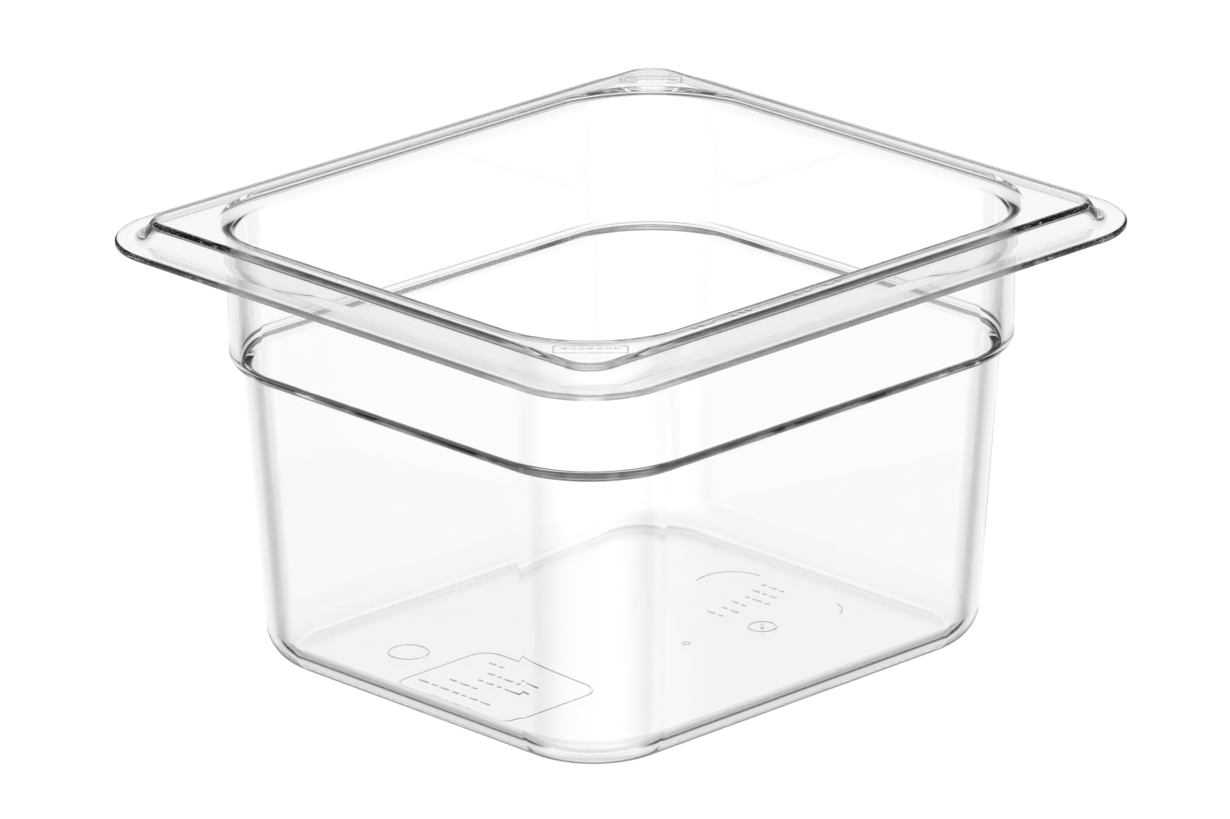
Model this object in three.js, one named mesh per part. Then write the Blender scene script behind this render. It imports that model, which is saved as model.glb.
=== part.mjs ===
// Sixth-size food pan, 4 in deep: one injection moulding in clear polycarbonate.
// Millimetres. X runs along the longer side, Y along the shorter side, Z is up.
// The origin is the centre of the underside of the base, where the pan stands on a shelf.
import * as THREE from "three";

// Overall size over the lip, and overall height.
const LIP_LENGTH = 176;
const LIP_WIDTH = 159;
const PAN_HEIGHT = 101.6;
const WALL = 2.3;
const BODY_WALL = 2.05;

// Lip: the flat outer ring that hangs on the edge of a well. "Inset" is always
// the distance in from the lip's outer edge, seen from above.
const LIP_RADIUS = 19.6;
const LIP_THICKNESS = 1.45;
const LIP_RING_WIDTH = 6.7;
const LIP_TOP_ROUND = 0.7;
const LIP_BOTTOM_ROUND = 0.5;

// Apron: the short slope from the lip up to the plateau that a lid sits on.
const APRON_RUN = 3.1;
const APRON_RISE = 4.05;
const APRON_FOOT_ROUND = 2.5;
const UNDER_APRON_ROUND = 3.5;
const PLATEAU_THICKNESS = 1.8;
const PLATEAU_EDGE_ROUND = 1.2;
const PLATEAU_RADIUS = 6.6;

// Opening: the mouth of the pan, with much larger corners than the plateau.
const OPENING_INSET = 17.1;
const OPENING_RADIUS = 24.2;
const OPENING_ROUND = 3.6;

// Band: the upright upper wall between the rim and the ledge.
const BAND_INSET = 15.1;
const BAND_RADIUS = 27;
const BAND_LEAN = 0.2;
const UNDER_RIM_ROUND = 1.6;

// Shoulder: the outside rounds in to the narrower body, the inside has a narrow rounded ledge.
const SHOULDER_BOTTOM = 69.0;
const SHOULDER_ROUND = 3.1;
const LEDGE_DEPTH = 1.85;
const LEDGE_EDGE_ROUND = 2.0;

// Body: the tapered lower walls and the large round into the base.
const BODY_TOP_INSET = 18.3;
const BODY_TOP_RADIUS = 23.2;
const BODY_BASE_INSET = 21.6;
const BASE_ROUND = 8.6;
const BASE_RADIUS = 13.5;
const FLOOR_THICKNESS = 2.3;

// Facets: steps around each quarter corner in plan, and per quarter turn in section.
const CORNER_STEPS = 10;
const ROUND_STEPS = 4;

const PLATEAU_INSET = LIP_RING_WIDTH + APRON_RUN;
const LIP_TOP = PAN_HEIGHT - APRON_RISE;
const LIP_BOTTOM = LIP_TOP - LIP_THICKNESS;
const APRON_SLOPE = THREE.MathUtils.radToDeg(Math.atan2(APRON_RISE, APRON_RUN));
const BODY_DRAFT = THREE.MathUtils.radToDeg(
  Math.atan2(BODY_BASE_INSET - BODY_TOP_INSET, SHOULDER_BOTTOM - BASE_ROUND),
);

// One ring of the section: a rounded rectangle at one height.
function ring(inset, z, radius) {
  return { inset, z, radius };
}

// Rings along a round in the section. The angle is 0 pointing out of the pan, 90 up.
function roundRings(centre, roundRadius, fromDegrees, toDegrees) {
  const steps = Math.max(2, Math.round((ROUND_STEPS * Math.abs(toDegrees - fromDegrees)) / 90));
  const rings = [];
  for (let i = 0; i <= steps; i += 1) {
    const angle = THREE.MathUtils.degToRad(fromDegrees + ((toDegrees - fromDegrees) * i) / steps);
    const outward = roundRadius * Math.cos(angle);
    const z = centre.z + roundRadius * Math.sin(angle);
    rings.push(ring(centre.inset - outward, z, centre.radius + outward));
  }
  return rings;
}

// The base: a flat underside that rounds up into the outside of the body.
function outsideOfBody() {
  const baseCentre = ring(BODY_BASE_INSET + BASE_ROUND, BASE_ROUND, BASE_RADIUS);
  return [
    ...roundRings(baseCentre, BASE_ROUND, -90, -BODY_DRAFT),
    ring(BODY_TOP_INSET, SHOULDER_BOTTOM, BODY_TOP_RADIUS),
  ];
}

// The shoulder and the outside of the band, up to the round below the plateau.
function outsideOfBand() {
  const shoulderInset = BAND_INSET + SHOULDER_ROUND;
  const shoulderZ = SHOULDER_BOTTOM + SHOULDER_ROUND;
  const shoulderCentre = ring(shoulderInset, shoulderZ, BAND_RADIUS - SHOULDER_ROUND);
  const rimInset = BAND_INSET - BAND_LEAN - UNDER_RIM_ROUND;
  const rimZ = PAN_HEIGHT - PLATEAU_THICKNESS - UNDER_RIM_ROUND;
  const rimCentre = ring(rimInset, rimZ, BAND_RADIUS + BAND_LEAN + UNDER_RIM_ROUND);
  return [
    ...roundRings(shoulderCentre, SHOULDER_ROUND, -80, 0),
    ...roundRings(rimCentre, UNDER_RIM_ROUND, 180, 90),
  ];
}

// Where the sloped underside of the apron crosses a given height.
function apronUndersideInset(z) {
  const slope = THREE.MathUtils.degToRad(APRON_SLOPE);
  const lineInset = LIP_RING_WIDTH + LIP_THICKNESS * Math.sin(slope);
  const lineZ = LIP_TOP - LIP_THICKNESS * Math.cos(slope);
  return lineInset + (z - lineZ) / Math.tan(slope);
}

// The underside of the plateau, apron and lip, working outwards.
function undersideOfRim() {
  const plateauUnderside = PAN_HEIGHT - PLATEAU_THICKNESS;
  const high = apronUndersideInset(plateauUnderside);
  const halfSlope = THREE.MathUtils.degToRad(APRON_SLOPE / 2);
  const low = apronUndersideInset(LIP_BOTTOM) - UNDER_APRON_ROUND * Math.tan(halfSlope);
  const lowRadius = PLATEAU_RADIUS + PLATEAU_INSET - low;
  const lowCentre = ring(low, LIP_BOTTOM + UNDER_APRON_ROUND, lowRadius);
  return [
    ring(high, plateauUnderside, PLATEAU_RADIUS + PLATEAU_INSET - high),
    ...roundRings(lowCentre, UNDER_APRON_ROUND, -90 - APRON_SLOPE, -90),
  ];
}

// The rounded outer edge of the lip, its flat top and the foot of the apron.
function lipAndFoot() {
  const lowRadius = LIP_RADIUS - LIP_BOTTOM_ROUND;
  const lowCentre = ring(LIP_BOTTOM_ROUND, LIP_BOTTOM + LIP_BOTTOM_ROUND, lowRadius);
  const highCentre = ring(LIP_TOP_ROUND, LIP_TOP - LIP_TOP_ROUND, LIP_RADIUS - LIP_TOP_ROUND);
  const halfSlope = THREE.MathUtils.degToRad(APRON_SLOPE / 2);
  const footInset = LIP_RING_WIDTH - APRON_FOOT_ROUND * Math.tan(halfSlope);
  const footRadius = PLATEAU_RADIUS + PLATEAU_INSET - footInset;
  const footCentre = ring(footInset, LIP_TOP + APRON_FOOT_ROUND, footRadius);
  return [
    ...roundRings(lowCentre, LIP_BOTTOM_ROUND, -90, 0),
    ...roundRings(highCentre, LIP_TOP_ROUND, 0, 90),
    ...roundRings(footCentre, APRON_FOOT_ROUND, -90, -90 - APRON_SLOPE),
  ];
}

// The rounded edge of the plateau, its flat top and the round into the opening.
function plateauAndOpening() {
  const halfSlope = THREE.MathUtils.degToRad(APRON_SLOPE / 2);
  const edgeInset = PLATEAU_INSET + PLATEAU_EDGE_ROUND * Math.tan(halfSlope);
  const edgeRadius = PLATEAU_RADIUS + PLATEAU_INSET - edgeInset;
  const edgeCentre = ring(edgeInset, PAN_HEIGHT - PLATEAU_EDGE_ROUND, edgeRadius);
  const mouthInset = OPENING_INSET - OPENING_ROUND;
  const mouthZ = PAN_HEIGHT - OPENING_ROUND;
  const mouthCentre = ring(mouthInset, mouthZ, OPENING_RADIUS + OPENING_ROUND);
  return [
    ...roundRings(edgeCentre, PLATEAU_EDGE_ROUND, 90 - APRON_SLOPE, 90),
    ...roundRings(mouthCentre, OPENING_ROUND, 90, 180),
  ];
}

// The inside of the band, the ledge, and the inside of the body down to the floor.
function inside() {
  const ledgeZ = SHOULDER_BOTTOM + LEDGE_DEPTH;
  const filletRound = SHOULDER_ROUND - WALL;
  const filletInset = BAND_INSET + SHOULDER_ROUND;
  const filletCentre = ring(filletInset, ledgeZ + filletRound, BAND_RADIUS - SHOULDER_ROUND);
  const edgeInset = BODY_TOP_INSET + BODY_WALL - LEDGE_EDGE_ROUND;
  const edgeRadius = BODY_TOP_RADIUS - BODY_WALL + LEDGE_EDGE_ROUND;
  const edgeCentre = ring(edgeInset, ledgeZ - LEDGE_EDGE_ROUND, edgeRadius);
  const floorRound = BASE_ROUND - FLOOR_THICKNESS;
  const floorInset = BODY_BASE_INSET + BODY_WALL + floorRound;
  const floorRadius = BASE_RADIUS + BODY_BASE_INSET + BASE_ROUND - floorInset;
  const floorCentre = ring(floorInset, FLOOR_THICKNESS + floorRound, floorRadius);
  return [
    ...roundRings(filletCentre, filletRound, 0, -90),
    ...roundRings(edgeCentre, LEDGE_EDGE_ROUND, 90, 180),
    ...roundRings(floorCentre, floorRound, -BODY_DRAFT, -90),
  ];
}

// The plan outline of one ring, anticlockwise seen from above.
function outlinePoints({ inset, z, radius }) {
  const straightX = LIP_LENGTH / 2 - inset - radius;
  const straightY = LIP_WIDTH / 2 - inset - radius;
  const quarter = Math.PI / 2;
  const outline = new THREE.Shape();
  outline.absarc(straightX, -straightY, radius, -quarter, 0, false);
  outline.absarc(straightX, straightY, radius, 0, quarter, false);
  outline.absarc(-straightX, straightY, radius, quarter, 2 * quarter, false);
  outline.absarc(-straightX, -straightY, radius, 2 * quarter, 3 * quarter, false);
  return outline.getPoints(CORNER_STEPS / 2).map((p) => new THREE.Vector3(p.x, p.y, z));
}

// Skins a run of rings and closes both ends with a flat fan, giving one closed body.
function skinnedBody(rings) {
  const outlines = rings.map(outlinePoints);
  const count = outlines[0].length;
  const positions = outlines.flat().flatMap((point) => point.toArray());
  const triangles = [];
  for (let row = 0; row + 1 < outlines.length; row += 1) {
    for (let i = 0; i < count; i += 1) {
      const next = (i + 1) % count;
      const a = row * count + i;
      const b = row * count + next;
      const c = (row + 1) * count + next;
      const d = (row + 1) * count + i;
      triangles.push(a, b, c, a, c, d);
    }
  }
  const lastRow = (outlines.length - 1) * count;
  const baseCentre = positions.length / 3;
  positions.push(0, 0, rings[0].z, 0, 0, rings[rings.length - 1].z);
  for (let i = 0; i < count; i += 1) {
    const next = (i + 1) % count;
    triangles.push(baseCentre, next, i);
    triangles.push(baseCentre + 1, lastRow + i, lastRow + next);
  }
  const geometry = new THREE.BufferGeometry();
  geometry.setAttribute("position", new THREE.Float32BufferAttribute(positions, 3));
  geometry.setIndex(triangles);
  geometry.computeVertexNormals();
  return geometry;
}

const clearPolycarbonate = new THREE.MeshStandardMaterial({
  color: 0xf2f5f5,
  roughness: 0.06,
  metalness: 0,
  transparent: true,
  opacity: 0.35,
});

const panSection = [
  ...outsideOfBody(),
  ...outsideOfBand(),
  ...undersideOfRim(),
  ...lipAndFoot(),
  ...plateauAndOpening(),
  ...inside(),
];

const pan = new THREE.Group();
const panBody = new THREE.Mesh(skinnedBody(panSection), clearPolycarbonate);
panBody.name = "pan_body";
pan.add(panBody);

export default pan;
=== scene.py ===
"""Looks for a clear food pan: one injection moulding in clear polycarbonate.

The pan is a single closed shell. Its wall section is drawn once, as corners with rounds, and
lofted round the pan, and the moulded marks on the floor and the rim are raised from its flats.
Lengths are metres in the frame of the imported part: X along the longer side, Z up, and the
origin at the centre of the underside of the base.
"""

import math
from collections import namedtuple

import bmesh
import bpy
from mathutils import Matrix, Vector


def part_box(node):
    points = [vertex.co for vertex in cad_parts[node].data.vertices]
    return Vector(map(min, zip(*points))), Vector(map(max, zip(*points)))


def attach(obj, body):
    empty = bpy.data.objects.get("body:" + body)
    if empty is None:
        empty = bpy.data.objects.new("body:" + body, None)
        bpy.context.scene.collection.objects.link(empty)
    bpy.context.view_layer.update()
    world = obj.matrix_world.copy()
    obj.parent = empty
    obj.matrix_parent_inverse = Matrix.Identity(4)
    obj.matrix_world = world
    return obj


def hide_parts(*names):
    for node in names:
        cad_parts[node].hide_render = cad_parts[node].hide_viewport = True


MM = 0.001

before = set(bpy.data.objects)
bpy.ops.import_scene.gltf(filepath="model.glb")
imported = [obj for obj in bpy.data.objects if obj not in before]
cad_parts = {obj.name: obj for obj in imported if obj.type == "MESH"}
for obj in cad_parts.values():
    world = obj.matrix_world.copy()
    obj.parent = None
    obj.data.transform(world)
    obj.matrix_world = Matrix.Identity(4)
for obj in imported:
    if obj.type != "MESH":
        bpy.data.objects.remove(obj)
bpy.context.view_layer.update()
frame_low, frame_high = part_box("pan_body")

# Overall size, from the frame.
HALF_LENGTH = (frame_high.x - frame_low.x) / 2
HALF_WIDTH = (frame_high.y - frame_low.y) / 2
PAN_HEIGHT = frame_high.z

# Wall section. An inset is the distance in from the lip's outer edge, seen from above.
WALL = 2.3 * MM
BODY_WALL = 2.05 * MM
LIP_THICKNESS = 1.45 * MM
PLATEAU_THICKNESS = 1.8 * MM
LIP_RING_WIDTH = 6.7 * MM
APRON_RUN = 3.1 * MM
APRON_RISE = 4.05 * MM
OPENING_INSET = 17.1 * MM
BAND_INSET = 15.1 * MM
BAND_LEAN = 0.2 * MM
BODY_TOP_INSET = 18.3 * MM
BODY_FOOT_INSET = 22.03 * MM
SHOULDER_BOTTOM = 69.0 * MM
LEDGE_DEPTH = 1.85 * MM

# Rounds of the section.
BASE_ROUND = 8.6 * MM
LEDGE_FILLET = 0.8 * MM
LEDGE_EDGE_ROUND = 2.2 * MM
SHOULDER_ROUND = 3.1 * MM
SHOULDER_FILLET = 0.8 * MM
UNDER_RIM_FILLET = 1.6 * MM
UNDER_PLATEAU_FILLET = 1.2 * MM
UNDER_APRON_ROUND = 3.5 * MM
LIP_BOTTOM_ROUND = 0.5 * MM
LIP_TOP_ROUND = 0.7 * MM
APRON_FOOT_FILLET = 2.5 * MM
PLATEAU_EDGE_ROUND = 1.2 * MM
OPENING_ROUND = 3.6 * MM

# Corners seen from above: each reach is a corner's radius plus its inset, so that surfaces with
# one reach share their corner centres and stay parallel round the corner.
LIP_REACH = 19.6 * MM
PLATEAU_REACH = 16.4 * MM
OPENING_REACH = 41.3 * MM
BAND_REACH = 42.1 * MM
BODY_REACH = 41.5 * MM
BASE_REACH = 43.7 * MM

# Fineness of the mesh, and the sharpest bend that is still shaded as smooth.
CORNER_STEPS = 32
ROUND_STEP = math.radians(7.5)
SMOOTH_ANGLE = math.radians(38)

# Moulded marks. Each has a rounded side: a waist part of the way in and up, then the top.
MARK_HEIGHT = 0.09 * MM
MARK_EDGE = 0.12 * MM
WAIST_INWARD_SHARE = 0.35
WAIST_HEIGHT_SHARE = 0.75
BAR_WIDTH = 0.7 * MM
BAR_END_STEPS = 5
FLOOR_BAR_GAP = 0.9 * MM
PATCH_LENGTH = 29.8 * MM
PATCH_WIDTH = 35.4 * MM
PATCH_RADIUS = 5 * MM
PATCH_LINE = 0.5 * MM
ARC_LINE = 0.4 * MM
BADGE_RADIUS = 3.4 * MM
BADGE_LINE = 0.6 * MM
RING_RADIUS = 4.7 * MM
RING_LINE = 0.45 * MM
GATE_RADIUS = 1.0 * MM
GATE_LINE = 0.35 * MM
PLAQUE_RADIUS = 0.6 * MM
NEAR_PLAQUE_LENGTH = 16.0 * MM
NEAR_PLAQUE_WIDTH = 4.8 * MM
NEAR_PLAQUE_LINE = 0.35 * MM
NEAR_BLOCK_LENGTH = 1.5 * MM
NEAR_BLOCK_WIDTH = 1.1 * MM
NEAR_BLOCK_GAP = 0.4 * MM
FAR_PLAQUE_LENGTH = 14.0 * MM
FAR_PLAQUE_WIDTH = 5.2 * MM
FAR_PLAQUE_LINE = 0.3 * MM
FAR_RING_RADIUS = 1.7 * MM
FAR_BLOCK_LENGTH = 1.9 * MM
FAR_BLOCK_WIDTH = 1.5 * MM
FAR_BLOCK_GAP = 0.7 * MM
RIM_BAR_INSET = 12.2 * MM
RIM_BAR_WIDTH = 1.0 * MM
RIM_BAR_GAP = 0.5 * MM

# The floor, just under the base.
FLOOR_HALF_SIZE = 12.0
FLOOR_GAP = 0.2 * MM

# Clear polycarbonate. Haze starts at one value of its noise and is full at another.
REFRACTIVE_INDEX = 1.585
TINT_LOW = (0.976, 0.979, 0.979, 1)
TINT_HIGH = (0.986, 0.988, 0.988, 1)
TINT_SCALE = 18
HAZE_SCALE = 90
HAZE_START = 0.35
HAZE_FULL = 0.75
HAZE_ROUGHNESS = 0.035
RIPPLE_SCALE = 30
RIPPLE_DEPTH = 0.04 * MM

# The camera: a long lens, with its angles measured round the pan and its aim moved a little off
# the middle of the pan.
CAMERA_AZIMUTH = math.radians(-44.54)
CAMERA_ELEVATION = math.radians(19.57)
CAMERA_ROLL = math.radians(-0.25)
CAMERA_DISTANCE = 2.2658
TARGET_HEIGHT_SHARE = 0.541
AIM_LEFT = 1.70 * MM
AIM_UP = 0.28 * MM
LENS_MM = 302.4
SENSOR_WIDTH_MM = 36
NEAREST = 0.1
FARTHEST = 100

# Light passes through several walls, and bounces between their surfaces.
LIGHT_BOUNCES = 40

# A ring is one loop round the pan. Outward and upward are the parts of its surface normal.
SectionCorner = namedtuple("SectionCorner", "inset z round reach")
Ring = namedtuple("Ring", "inset z reach outward upward")

# Which of the section's rounds, counted from 0 at the base, is the plateau's outer edge.
PLATEAU_EDGE_PLACE = 9


# ---- The wall section ----


def section_corners():
    """The section as sharp corners with rounds, from the base's underside out, up, over the rim,
    down the inside and in to the floor. The first and last only give a direction."""
    plateau_inset = LIP_RING_WIDTH + APRON_RUN
    lip_top = PAN_HEIGHT - APRON_RISE
    lip_bottom = lip_top - LIP_THICKNESS
    underside = PAN_HEIGHT - PLATEAU_THICKNESS
    slope = math.atan2(APRON_RISE, APRON_RUN)
    apron_inset = LIP_RING_WIDTH + LIP_THICKNESS * math.sin(slope)
    apron_z = lip_top - LIP_THICKNESS * math.cos(slope)
    ledge_z = SHOULDER_BOTTOM + LEDGE_DEPTH
    draft = (BODY_FOOT_INSET - BODY_TOP_INSET) / SHOULDER_BOTTOM
    inner_top = BODY_TOP_INSET + BODY_WALL
    inner_foot = inner_top + draft * (ledge_z - WALL)

    def apron_at(z):
        return apron_inset + (z - apron_z) / math.tan(slope)

    return [
        SectionCorner(HALF_WIDTH, 0, 0, BASE_REACH),
        SectionCorner(BODY_FOOT_INSET, 0, BASE_ROUND, BASE_REACH),
        SectionCorner(BODY_TOP_INSET, SHOULDER_BOTTOM, SHOULDER_FILLET, BODY_REACH),
        SectionCorner(BAND_INSET, SHOULDER_BOTTOM, SHOULDER_ROUND, BAND_REACH),
        SectionCorner(BAND_INSET - BAND_LEAN, underside, UNDER_RIM_FILLET, BAND_REACH),
        SectionCorner(apron_at(underside), underside, UNDER_PLATEAU_FILLET, PLATEAU_REACH),
        SectionCorner(apron_at(lip_bottom), lip_bottom, UNDER_APRON_ROUND, PLATEAU_REACH),
        SectionCorner(0, lip_bottom, LIP_BOTTOM_ROUND, LIP_REACH),
        SectionCorner(0, lip_top, LIP_TOP_ROUND, LIP_REACH),
        SectionCorner(LIP_RING_WIDTH, lip_top, APRON_FOOT_FILLET, PLATEAU_REACH),
        SectionCorner(plateau_inset, PAN_HEIGHT, PLATEAU_EDGE_ROUND, PLATEAU_REACH),
        SectionCorner(OPENING_INSET, PAN_HEIGHT, OPENING_ROUND, OPENING_REACH),
        SectionCorner(BAND_INSET + WALL, ledge_z, LEDGE_FILLET, BAND_REACH),
        SectionCorner(inner_top, ledge_z, LEDGE_EDGE_ROUND, BODY_REACH),
        SectionCorner(inner_foot, WALL, BASE_ROUND - WALL, BASE_REACH),
        SectionCorner(HALF_WIDTH, WALL, 0, BASE_REACH),
    ]


def corner_rings(before, corner, after):
    """Rings along the round at one corner, with the surface normal at each."""
    tip = Vector((-corner.inset, corner.z))
    back = (Vector((-before.inset, before.z)) - tip).normalized()
    onward = (Vector((-after.inset, after.z)) - tip).normalized()
    half_angle = back.angle(onward) / 2
    turn = math.pi - 2 * half_angle
    centre = tip + (back + onward).normalized() * corner.round / math.sin(half_angle)
    start = tip + back * corner.round / math.tan(half_angle) - centre
    end = tip + onward * corner.round / math.tan(half_angle) - centre
    facing_out = start.dot(Vector((-back.y, back.x))) > 0
    steps = max(4, math.ceil(turn / ROUND_STEP))
    rings = []
    for i in range(steps + 1):
        share = i / steps
        arm = start * math.sin((1 - share) * turn) + end * math.sin(share * turn)
        arm /= math.sin(turn)
        point = centre + arm
        normal = arm.normalized() * (1 if facing_out else -1)
        rings.append(Ring(-point.x, point.y, corner.reach, normal.x, normal.y))
    return rings


def section_rings():
    """All rings of the section, and the index of the last ring before each of its flats."""
    corners = section_corners()
    rings = []
    ends = []
    for before, corner, after in zip(corners, corners[1:], corners[2:]):
        rings += corner_rings(before, corner, after)
        ends.append(len(rings) - 1)
    return rings, ends


def ring_points(ring):
    """(place, normal) of each point round a ring, anticlockwise seen from above."""
    radius = ring.reach - ring.inset
    straight_x = HALF_LENGTH - ring.reach
    straight_y = HALF_WIDTH - ring.reach
    points = []
    for quarter, (side_x, side_y) in enumerate(((1, -1), (1, 1), (-1, 1), (-1, -1))):
        for i in range(CORNER_STEPS + 1):
            angle = math.pi / 2 * (quarter - 1 + i / CORNER_STEPS)
            away = Vector((math.cos(angle), math.sin(angle), 0))
            place = Vector((side_x * straight_x, side_y * straight_y, ring.z)) + away * radius
            points.append((place, away * ring.outward + Vector((0, 0, ring.upward))))
    return points


# ---- Moulded marks, raised from a flat ----


def bar_outline(centre, length, angle, width=BAR_WIDTH):
    """A straight bar with round ends."""
    half = (length - width) / 2
    along = Vector((math.cos(angle), math.sin(angle)))
    points = []
    for end in (1, -1):
        for i in range(BAR_END_STEPS + 1):
            bend = angle + math.pi * (i / BAR_END_STEPS - 0.5) + (0 if end > 0 else math.pi)
            corner = Vector((math.cos(bend), math.sin(bend))) * width / 2
            points.append(Vector(centre) + along * half * end + corner)
    return points


def box_outline(centre, length, width, radius, angle=0.0, steps=5):
    """A rounded rectangle."""
    turned = Matrix.Rotation(angle, 2)
    points = []
    for quarter, (side_x, side_y) in enumerate(((1, -1), (1, 1), (-1, 1), (-1, -1))):
        middle = Vector((side_x * (length / 2 - radius), side_y * (width / 2 - radius)))
        for i in range(steps + 1):
            bend = math.pi / 2 * (quarter - 1 + i / steps)
            corner = Vector((math.cos(bend), math.sin(bend))) * radius
            points.append(Vector(centre) + turned @ (middle + corner))
    return points


def circle_outline(centre, radius, steps=28):
    """A full circle."""
    turns = [2 * math.pi * i / steps for i in range(steps)]
    return [Vector(centre) + Vector((math.cos(a), math.sin(a))) * radius for a in turns]


def arc_outline(centre, radius, from_degrees, to_degrees, width, steps=14):
    """A curved bar, drawn out along its outer side and back along its inner side."""
    points = []
    for side, start, end in ((1, from_degrees, to_degrees), (-1, to_degrees, from_degrees)):
        for i in range(steps + 1):
            angle = math.radians(start + (end - start) * i / steps)
            arm = Vector((math.cos(angle), math.sin(angle)))
            points.append(Vector(centre) + arm * (radius + side * width / 2))
    return points


def shrunk(outline, distance):
    """The outline moved in by a distance, or out where the distance is below zero."""
    moved = []
    for i, point in enumerate(outline):
        before = (point - outline[i - 1]).normalized()
        after = (outline[(i + 1) % len(outline)] - point).normalized()
        along = (before + after).normalized()
        moved.append(point + Vector((-along.y, along.x)) * distance)
    return moved


def add_loop(shell, outline, z):
    """New vertices on an outline."""
    return [shell.verts.new((point.x, point.y, z)) for point in outline]


def loop_edges(shell, loop):
    """The edges that join a loop of vertices, made where they are missing."""
    edges = []
    for i, vertex in enumerate(loop):
        pair = (vertex, loop[(i + 1) % len(loop)])
        edges.append(shell.edges.get(pair) or shell.edges.new(pair))
    return edges


def skin(shell, first, second):
    """Quads between two loops with the same number of vertices."""
    for i in range(len(first)):
        following = (i + 1) % len(first)
        shell.faces.new((first[i], first[following], second[following], second[i]))


def raised_wall(shell, outline, z, inwards):
    """The rounded side of a mark. Returns its loop on the flat and its loop at the top."""
    foot = add_loop(shell, outline, z)
    waist_outline = shrunk(outline, inwards * MARK_EDGE * WAIST_INWARD_SHARE)
    waist = add_loop(shell, waist_outline, z + MARK_HEIGHT * WAIST_HEIGHT_SHARE)
    top = add_loop(shell, shrunk(outline, inwards * MARK_EDGE), z + MARK_HEIGHT)
    skin(shell, foot, waist)
    skin(shell, waist, top)
    return foot, top


def solid_mark(outline):
    """A mark with a filled top."""

    def build(shell, z):
        foot, top = raised_wall(shell, outline, z, 1)
        shell.faces.new(top)
        return loop_edges(shell, foot)

    return build


def frame_mark(outline, width, inside=()):
    """A raised line round an area that can hold marks of its own."""

    def build(shell, z):
        foot, top = raised_wall(shell, outline, z, 1)
        inner_foot, inner_top = raised_wall(shell, shrunk(outline, width), z, -1)
        skin(shell, top, inner_top)
        fill_flat(shell, [inner_foot], z, inside)
        return loop_edges(shell, foot)

    return build


def fill_flat(shell, loops, z, marks):
    """Fills the flat between loops, leaving a place for each mark and raising it there."""
    edges = []
    for loop in loops:
        edges += loop_edges(shell, loop)
    for mark in marks:
        edges += mark(shell, z)
    bmesh.ops.triangle_fill(shell, use_beauty=True, use_dissolve=False, edges=edges)


def bar_row(start, angle, lengths, gap, width=BAR_WIDTH):
    """Bars of given lengths one after another from a start point."""
    along = Vector((math.cos(angle), math.sin(angle)))
    travelled = 0
    marks = []
    for length in lengths:
        centre = Vector(start) + along * (travelled + length / 2)
        marks.append(solid_mark(bar_outline(centre, length, angle, width)))
        travelled += length + gap
    return marks


def floor_marks():
    """A blank framed patch and a looser group, both of plain bars, with rings and a gate mark."""
    patch_centre = Vector((-41.0, -2.3)) * MM
    patch_rows = (
        (-13.0, 5.8, (2.6, 1.6, 3.4, 2.0)),
        (-8.2, 15.0, (3.2, 1.8, 2.8, 2.2, 1.4, 2.6, 3.0)),
        (-3.4, 10.2, (2.2, 3.0, 1.6)),
        (0.8, 5.6, (1.6, 2.4, 1.4, 5.2)),
        (5.0, 7.0, (2.2, 1.2, 2.8, 4.6)),
        (9.6, 11.4, (2.4, 1.4)),
    )
    group_centre = Vector((34.2, -4.0)) * MM
    group_rows = (
        (10.2, 6.4, (1.6, 2.4, 1.4)),
        (6.2, 5.2, (2.4, 1.2, 2.0)),
        (2.2, 3.4, (1.4, 2.8, 1.6)),
        (-2.0, 3.6, (2.2, 1.6)),
        (-6.2, 2.4, (1.8, 2.6)),
        (-10.2, 3.0, (2.6, 1.4)),
    )
    patch_outline = box_outline(patch_centre, PATCH_LENGTH, PATCH_WIDTH, PATCH_RADIUS)
    badge_centre = Vector((25.6, -16.6)) * MM
    badge_inside = [solid_mark(bar_outline(badge_centre, BADGE_RADIUS, math.pi / 4))]
    far_arc = arc_outline(Vector((39.5, 6.5)) * MM, 8.5 * MM, 0, 115, ARC_LINE)
    near_arc = arc_outline(Vector((42.0, -17.5)) * MM, 5.6 * MM, -70, -10, ARC_LINE)
    ring_centre = Vector((-39.4, 26.3)) * MM
    gate_centre = Vector((6.3, -12.0)) * MM
    return [
        frame_mark(patch_outline, PATCH_LINE, patch_bars(patch_centre, patch_rows)),
        *patch_bars(group_centre, group_rows),
        frame_mark(circle_outline(badge_centre, BADGE_RADIUS), BADGE_LINE, badge_inside),
        solid_mark(far_arc),
        solid_mark(near_arc),
        frame_mark(circle_outline(ring_centre, RING_RADIUS), RING_LINE),
        frame_mark(circle_outline(gate_centre, GATE_RADIUS), GATE_LINE),
    ]


def patch_bars(centre, rows):
    """Rows of bars across the pan. Each row is (place along the pan, first end, bar lengths)."""
    marks = []
    for along_pan, first, lengths in rows:
        start = centre + Vector((along_pan, first)) * MM
        marks += bar_row(start, -math.pi / 2, [length * MM for length in lengths], FLOOR_BAR_GAP)
    return marks


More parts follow.
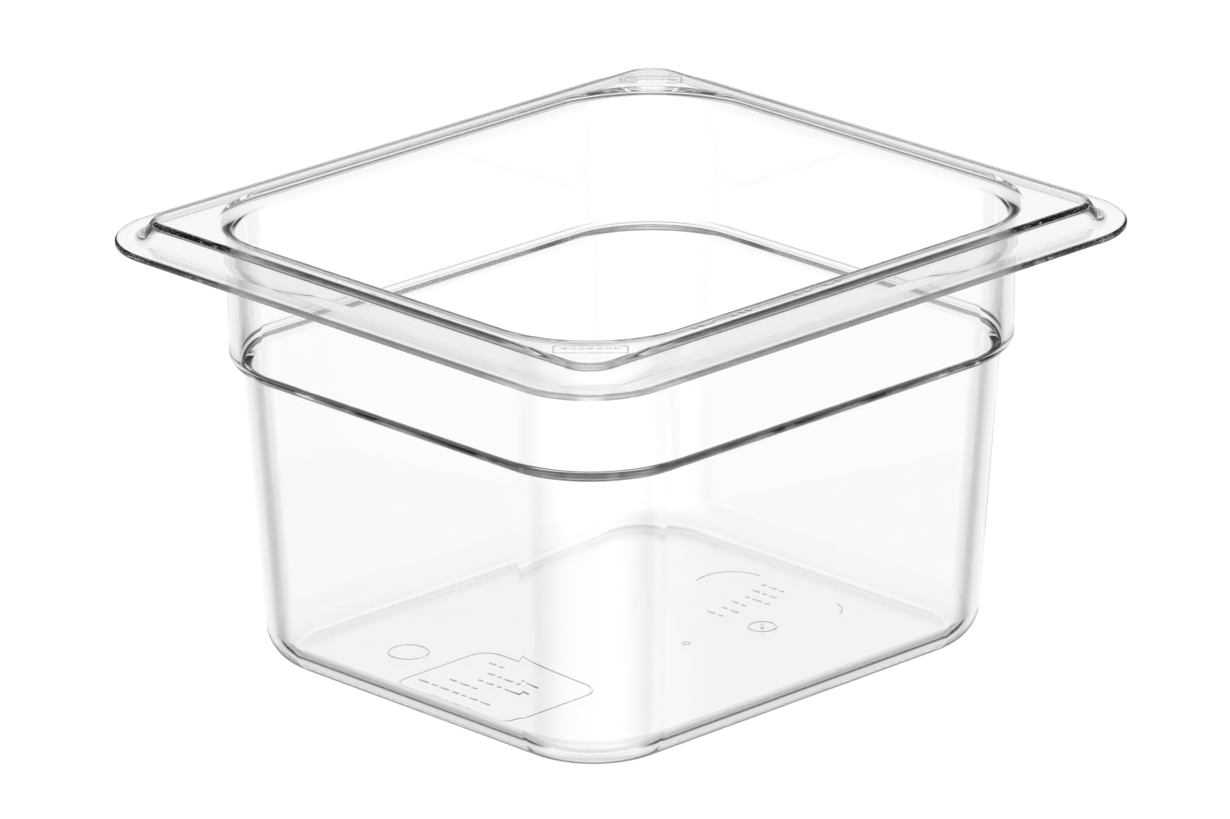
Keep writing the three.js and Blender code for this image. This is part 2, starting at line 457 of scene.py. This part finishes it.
def rim_marks():
    """The blank plaques on two corner webs and the run of bars along one long side of the rim."""
    web = Vector((70.6, 62.2)) * MM
    across = -math.pi / 4
    along = Vector((math.cos(across), math.sin(across)))
    out = Vector((math.cos(math.pi / 4), math.sin(math.pi / 4)))
    near_centre = out * 1.0 * MM - web
    near_outline = box_outline(
        near_centre, NEAR_PLAQUE_LENGTH, NEAR_PLAQUE_WIDTH, PLAQUE_RADIUS, across
    )
    near_row = near_centre - along * 6.5 * MM + out * 0.7 * MM
    near_blocks = [NEAR_BLOCK_LENGTH] * 7
    near_inside = bar_row(near_row, across, near_blocks, NEAR_BLOCK_GAP, NEAR_BLOCK_WIDTH)
    far_centre = web - out * 1.6 * MM
    far_outline = box_outline(
        far_centre, FAR_PLAQUE_LENGTH, FAR_PLAQUE_WIDTH, PLAQUE_RADIUS, across
    )
    far_ring = circle_outline(far_centre - along * 4.6 * MM, FAR_RING_RADIUS)
    far_row = far_centre - along * 1.4 * MM
    far_blocks = [FAR_BLOCK_LENGTH] * 3
    far_inside = [
        frame_mark(far_ring, RING_LINE),
        *bar_row(far_row, across, far_blocks, FAR_BLOCK_GAP, FAR_BLOCK_WIDTH),
    ]
    marks = [
        frame_mark(near_outline, NEAR_PLAQUE_LINE, near_inside),
        frame_mark(far_outline, FAR_PLAQUE_LINE, far_inside),
    ]
    groups = (
        (-45.4, (1.4, 4.6)),
        (-34.0, (2.2, 1.4, 1.6)),
        (-15.0, (2.6, 2.4)),
        (-6.0, (3.4, 1.2)),
    )
    for first, lengths in groups:
        start = Vector((first * MM, RIM_BAR_INSET - HALF_WIDTH))
        in_metres = [length * MM for length in lengths]
        marks += bar_row(start, 0, in_metres, RIM_BAR_GAP, RIM_BAR_WIDTH)
    return marks


# ---- The shell ----


def pan_shell():
    """The whole pan as one closed mesh, with exact normals on every lofted surface."""
    rings, ends = section_rings()
    plateau_end = ends[PLATEAU_EDGE_PLACE]
    shell = bmesh.new()
    normals = {}
    loops = []
    for ring in rings:
        loop = []
        for place, normal in ring_points(ring):
            vertex = shell.verts.new(place)
            normals[vertex] = normal
            loop.append(vertex)
        loops.append(loop)
    for i in range(len(loops) - 1):
        if i != plateau_end:
            skin(shell, loops[i], loops[i + 1])
    shell.faces.new(list(reversed(loops[0])))
    fill_flat(shell, [loops[plateau_end], loops[plateau_end + 1]], PAN_HEIGHT, rim_marks())
    fill_flat(shell, [loops[-1]], WALL, floor_marks())
    bmesh.ops.recalc_face_normals(shell, faces=shell.faces)
    shell.verts.index_update()
    exact = {vertex.index: normal for vertex, normal in normals.items()}
    mesh = bpy.data.meshes.new("pan_shell")
    shell.to_mesh(mesh)
    shell.free()
    mesh.shade_smooth()
    mesh.set_sharp_from_angle(angle=SMOOTH_ANGLE)
    blank = Vector((0, 0, 0))
    mesh.normals_split_custom_set([exact.get(loop.vertex_index, blank) for loop in mesh.loops])
    piece = bpy.data.objects.new("pan_shell", mesh)
    bpy.context.scene.collection.objects.link(piece)
    return piece


# ---- Clear polycarbonate ----


def link(tree, source, target):
    """Joins an output socket to an input socket."""
    tree.links.new(source, target)


def noise(tree, scale, detail):
    """The value of a noise that is fixed to the pan."""
    place = tree.nodes.new("ShaderNodeTexCoord")
    texture = tree.nodes.new("ShaderNodeTexNoise")
    texture.inputs["Scale"].default_value = scale
    texture.inputs["Detail"].default_value = detail
    link(tree, place.outputs["Object"], texture.inputs["Vector"])
    return texture.outputs["Fac"]


def faint_tint(tree):
    """A near-white tint that varies slightly from place to place."""
    tint = tree.nodes.new("ShaderNodeValToRGB")
    tint.color_ramp.elements[0].color = TINT_LOW
    tint.color_ramp.elements[1].color = TINT_HIGH
    link(tree, noise(tree, TINT_SCALE, detail=2), tint.inputs["Fac"])
    return tint.outputs["Color"]


def fine_haze(tree):
    """Roughness in fine patches that fade to none between them."""
    haze = tree.nodes.new("ShaderNodeMapRange")
    haze.inputs["From Min"].default_value = HAZE_START
    haze.inputs["From Max"].default_value = HAZE_FULL
    haze.inputs["To Min"].default_value = 0.0
    haze.inputs["To Max"].default_value = HAZE_ROUGHNESS
    link(tree, noise(tree, HAZE_SCALE, detail=6), haze.inputs["Value"])
    return haze.outputs["Result"]


def flow_ripple(tree):
    """Normals of the slow ripple left by the flow into the mould."""
    ripple = tree.nodes.new("ShaderNodeBump")
    ripple.inputs["Strength"].default_value = 1.0
    ripple.inputs["Distance"].default_value = RIPPLE_DEPTH
    link(tree, noise(tree, RIPPLE_SCALE, detail=1), ripple.inputs["Height"])
    return ripple.outputs["Normal"]


def clear_polycarbonate():
    """Clear moulded plastic with a faint tint, fine haze and slow flow ripple."""
    material = bpy.data.materials.new("clear_polycarbonate")
    material.use_nodes = True
    tree = material.node_tree
    tree.nodes.clear()
    output = tree.nodes.new("ShaderNodeOutputMaterial")
    plastic = tree.nodes.new("ShaderNodeBsdfPrincipled")
    plastic.inputs["Transmission Weight"].default_value = 1.0
    plastic.inputs["IOR"].default_value = REFRACTIVE_INDEX
    link(tree, faint_tint(tree), plastic.inputs["Base Color"])
    link(tree, fine_haze(tree), plastic.inputs["Roughness"])
    link(tree, flow_ripple(tree), plastic.inputs["Normal"])
    link(tree, plastic.outputs["BSDF"], output.inputs["Surface"])
    return material


# ---- Studio ----

# How bright each part of the studio is, 1 being white. The directions are as the photographer
# sees them: turned from straight ahead, raised above the level. A panel is full inside its inner
# angle and fades out at its outer one, and each is laid over the ones before it.
ROOM_LEVEL = 0.1
BACKDROP_LEVEL = 1.05
Panel = namedtuple("Panel", "turned raised inner outer level")
PANELS = (
    Panel(180, 5, 30, 75, 1.7),
    Panel(0, -90, 28, 44, 0.95),
    Panel(0, -50, 14, 28, 0.8),
    Panel(-34, -48, 12, 20, 0.9),
    Panel(34, -48, 12, 20, 0.9),
    Panel(0, 40, 8, 14, 1.3),
    Panel(0, 20, 4.5, 7, 0.75),
    Panel(-68, -42, 12, 24, 0.0),
    Panel(68, -42, 12, 24, 0.0),
    Panel(-92, -20, 10, 20, 0.8),
    Panel(92, -20, 10, 20, 0.8),
)

# The backdrop, whose directions are measured from the line of sight instead, so that it stands
# behind the pan from every side.
BACKDROP_PANELS = (
    Panel(-31.4, -5.5, 9, 20, 0.85),
    Panel(31.4, -5.5, 9, 20, 0.85),
    Panel(-17.7, -2.4, 6, 13, 0.92),
    Panel(17.7, -2.4, 6, 13, 0.92),
    Panel(0, 0, 9, 16, BACKDROP_LEVEL),
)


def panel_direction(panel):
    """Unit vector to a panel's middle, as (right, ahead, up)."""
    turned = math.radians(panel.turned)
    raised = math.radians(panel.raised)
    level_part = math.cos(raised)
    return (math.sin(turned) * level_part, math.cos(turned) * level_part, math.sin(raised))


def to_camera(tree):
    """A node that turns a world direction into camera directions."""
    turn = tree.nodes.new("ShaderNodeVectorTransform")
    turn.vector_type = "VECTOR"
    turn.convert_from = "WORLD"
    turn.convert_to = "CAMERA"
    return turn


def vector_math(tree, operation, first, second):
    """A vector maths node. Its inputs are sockets or constants."""
    node = tree.nodes.new("ShaderNodeVectorMath")
    node.operation = operation
    for socket, value in zip(node.inputs, (first, second)):
        if isinstance(value, tuple):
            socket.default_value = value
        else:
            link(tree, value, socket)
    return node


def measured_along(tree, vector, right, ahead, up):
    """A vector's parts along three directions, as (right, ahead, up)."""
    parts = tree.nodes.new("ShaderNodeCombineXYZ")
    for name, axis in (("X", right), ("Y", ahead), ("Z", up)):
        part = vector_math(tree, "DOT_PRODUCT", vector, axis)
        link(tree, part.outputs["Value"], parts.inputs[name])
    return parts.outputs["Vector"]


def lay_panel(tree, ray, panel, level):
    """The light level with one more panel laid over it. The level is a socket or a constant."""
    toward = vector_math(tree, "DOT_PRODUCT", ray, panel_direction(panel))
    fade = tree.nodes.new("ShaderNodeMapRange")
    fade.interpolation_type = "SMOOTHSTEP"
    fade.inputs["From Min"].default_value = math.cos(math.radians(panel.outer))
    fade.inputs["From Max"].default_value = math.cos(math.radians(panel.inner))
    link(tree, toward.outputs["Value"], fade.inputs["Value"])
    laid = tree.nodes.new("ShaderNodeMix")
    laid.data_type = "FLOAT"
    link(tree, fade.outputs["Result"], laid.inputs["Factor"])
    if isinstance(level, float):
        laid.inputs["A"].default_value = level
    else:
        link(tree, level, laid.inputs["A"])
    laid.inputs["B"].default_value = panel.level
    return laid.outputs["Result"]


def studio_group():
    """A node group that gives the light level met by a ray from its world direction."""
    tree = bpy.data.node_groups.new("studio_light", "ShaderNodeTree")
    tree.interface.new_socket("Direction", in_out="INPUT", socket_type="NodeSocketVector")
    tree.interface.new_socket("Level", in_out="OUTPUT", socket_type="NodeSocketFloat")
    inlet = tree.nodes.new("NodeGroupInput")
    outlet = tree.nodes.new("NodeGroupOutput")
    ray = to_camera(tree)
    link(tree, inlet.outputs["Direction"], ray.inputs["Vector"])
    upright = to_camera(tree)
    upright.inputs["Vector"].default_value = (0, 0, 1)
    right = (1, 0, 0)
    up = upright.outputs["Vector"]
    ahead = vector_math(tree, "CROSS_PRODUCT", right, up).outputs["Vector"]
    from_level = measured_along(tree, ray.outputs["Vector"], right, ahead, up)
    from_sight = measured_along(tree, ray.outputs["Vector"], right, (0, 0, 1), (0, 1, 0))
    level = ROOM_LEVEL
    for panel in PANELS:
        level = lay_panel(tree, from_level, panel, level)
    for panel in BACKDROP_PANELS:
        level = lay_panel(tree, from_sight, panel, level)
    link(tree, level, outlet.inputs["Level"])
    return tree


def studio_level(tree, direction):
    """Light level along a direction: plain white to the camera, the studio to other rays."""
    group = tree.nodes.new("ShaderNodeGroup")
    group.node_tree = bpy.data.node_groups.get("studio_light") or studio_group()
    link(tree, direction, group.inputs["Direction"])
    rays = tree.nodes.new("ShaderNodeLightPath")
    level = tree.nodes.new("ShaderNodeMix")
    level.data_type = "FLOAT"
    link(tree, rays.outputs["Is Camera Ray"], level.inputs["Factor"])
    link(tree, group.outputs["Level"], level.inputs["A"])
    level.inputs["B"].default_value = BACKDROP_LEVEL
    return level.outputs["Result"]


def add_studio():
    """The soft light all round the pan."""
    world = bpy.data.worlds.new("studio")
    world.use_nodes = True
    bpy.context.scene.world = world
    tree = world.node_tree
    place = tree.nodes.new("ShaderNodeTexCoord")
    level = studio_level(tree, place.outputs["Generated"])
    light = tree.nodes["Background"]
    light.inputs["Color"].default_value = (1, 1, 1, 1)
    link(tree, level, light.inputs["Strength"])


def add_floor():
    """A floor that glows like a light table, so that it shows no shadow: plain white to the
    camera, and to other rays a painted glow of the studio's light and shade along the ray.
    """
    grid = bmesh.new()
    bmesh.ops.create_grid(grid, x_segments=1, y_segments=1, size=FLOOR_HALF_SIZE)
    mesh = bpy.data.meshes.new("floor")
    grid.to_mesh(mesh)
    grid.free()
    floor = bpy.data.objects.new("floor", mesh)
    floor.location.z = frame_low.z - FLOOR_GAP
    bpy.context.scene.collection.objects.link(floor)
    material = bpy.data.materials.new("floor_studio_glow")
    material.use_nodes = True
    tree = material.node_tree
    tree.nodes.clear()
    output = tree.nodes.new("ShaderNodeOutputMaterial")
    # Painted light: the glow's strength is the studio's light level along each ray, darker in
    # some directions, and plain white to the camera.
    glow = tree.nodes.new("ShaderNodeEmission")
    geometry = tree.nodes.new("ShaderNodeNewGeometry")
    onward = vector_math(tree, "MULTIPLY", geometry.outputs["Incoming"], (-1, -1, -1))
    link(tree, studio_level(tree, onward.outputs["Vector"]), glow.inputs["Strength"])
    link(tree, glow.outputs["Emission"], output.inputs["Surface"])
    mesh.materials.append(material)


def add_camera():
    """A long lens from the corner between a long and a short side, a little above the rim."""
    target = Vector((0, 0, TARGET_HEIGHT_SHARE * PAN_HEIGHT))
    away = Vector(
        (
            math.sin(CAMERA_AZIMUTH) * math.cos(CAMERA_ELEVATION),
            -math.cos(CAMERA_AZIMUTH) * math.cos(CAMERA_ELEVATION),
            math.sin(CAMERA_ELEVATION),
        )
    )
    rightward = Vector((math.cos(CAMERA_AZIMUTH), math.sin(CAMERA_AZIMUTH), 0))
    place = target + away * CAMERA_DISTANCE
    aim = target - rightward * AIM_LEFT + Vector((0, 0, AIM_UP))
    lens = bpy.data.cameras.new("camera")
    lens.sensor_width = SENSOR_WIDTH_MM
    lens.lens = LENS_MM
    lens.clip_start = NEAREST
    lens.clip_end = FARTHEST
    camera = bpy.data.objects.new("camera", lens)
    bpy.context.scene.collection.objects.link(camera)
    camera.location = place
    look = (aim - place).to_track_quat("-Z", "Y").to_matrix()
    camera.rotation_euler = (look @ Matrix.Rotation(CAMERA_ROLL, 3, "Z")).to_euler()
    bpy.context.scene.camera = camera


def set_light_paths():
    """Enough bounces for light that passes through several walls, and an unaltered tone curve."""
    scene = bpy.context.scene
    scene.cycles.max_bounces = LIGHT_BOUNCES
    scene.cycles.transmission_bounces = LIGHT_BOUNCES
    scene.cycles.glossy_bounces = LIGHT_BOUNCES
    scene.view_settings.view_transform = "Standard"


pan = pan_shell()
pan.data.materials.append(clear_polycarbonate())
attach(pan, "root")
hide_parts("pan_body")
add_floor()
add_studio()
add_camera()
set_light_paths()
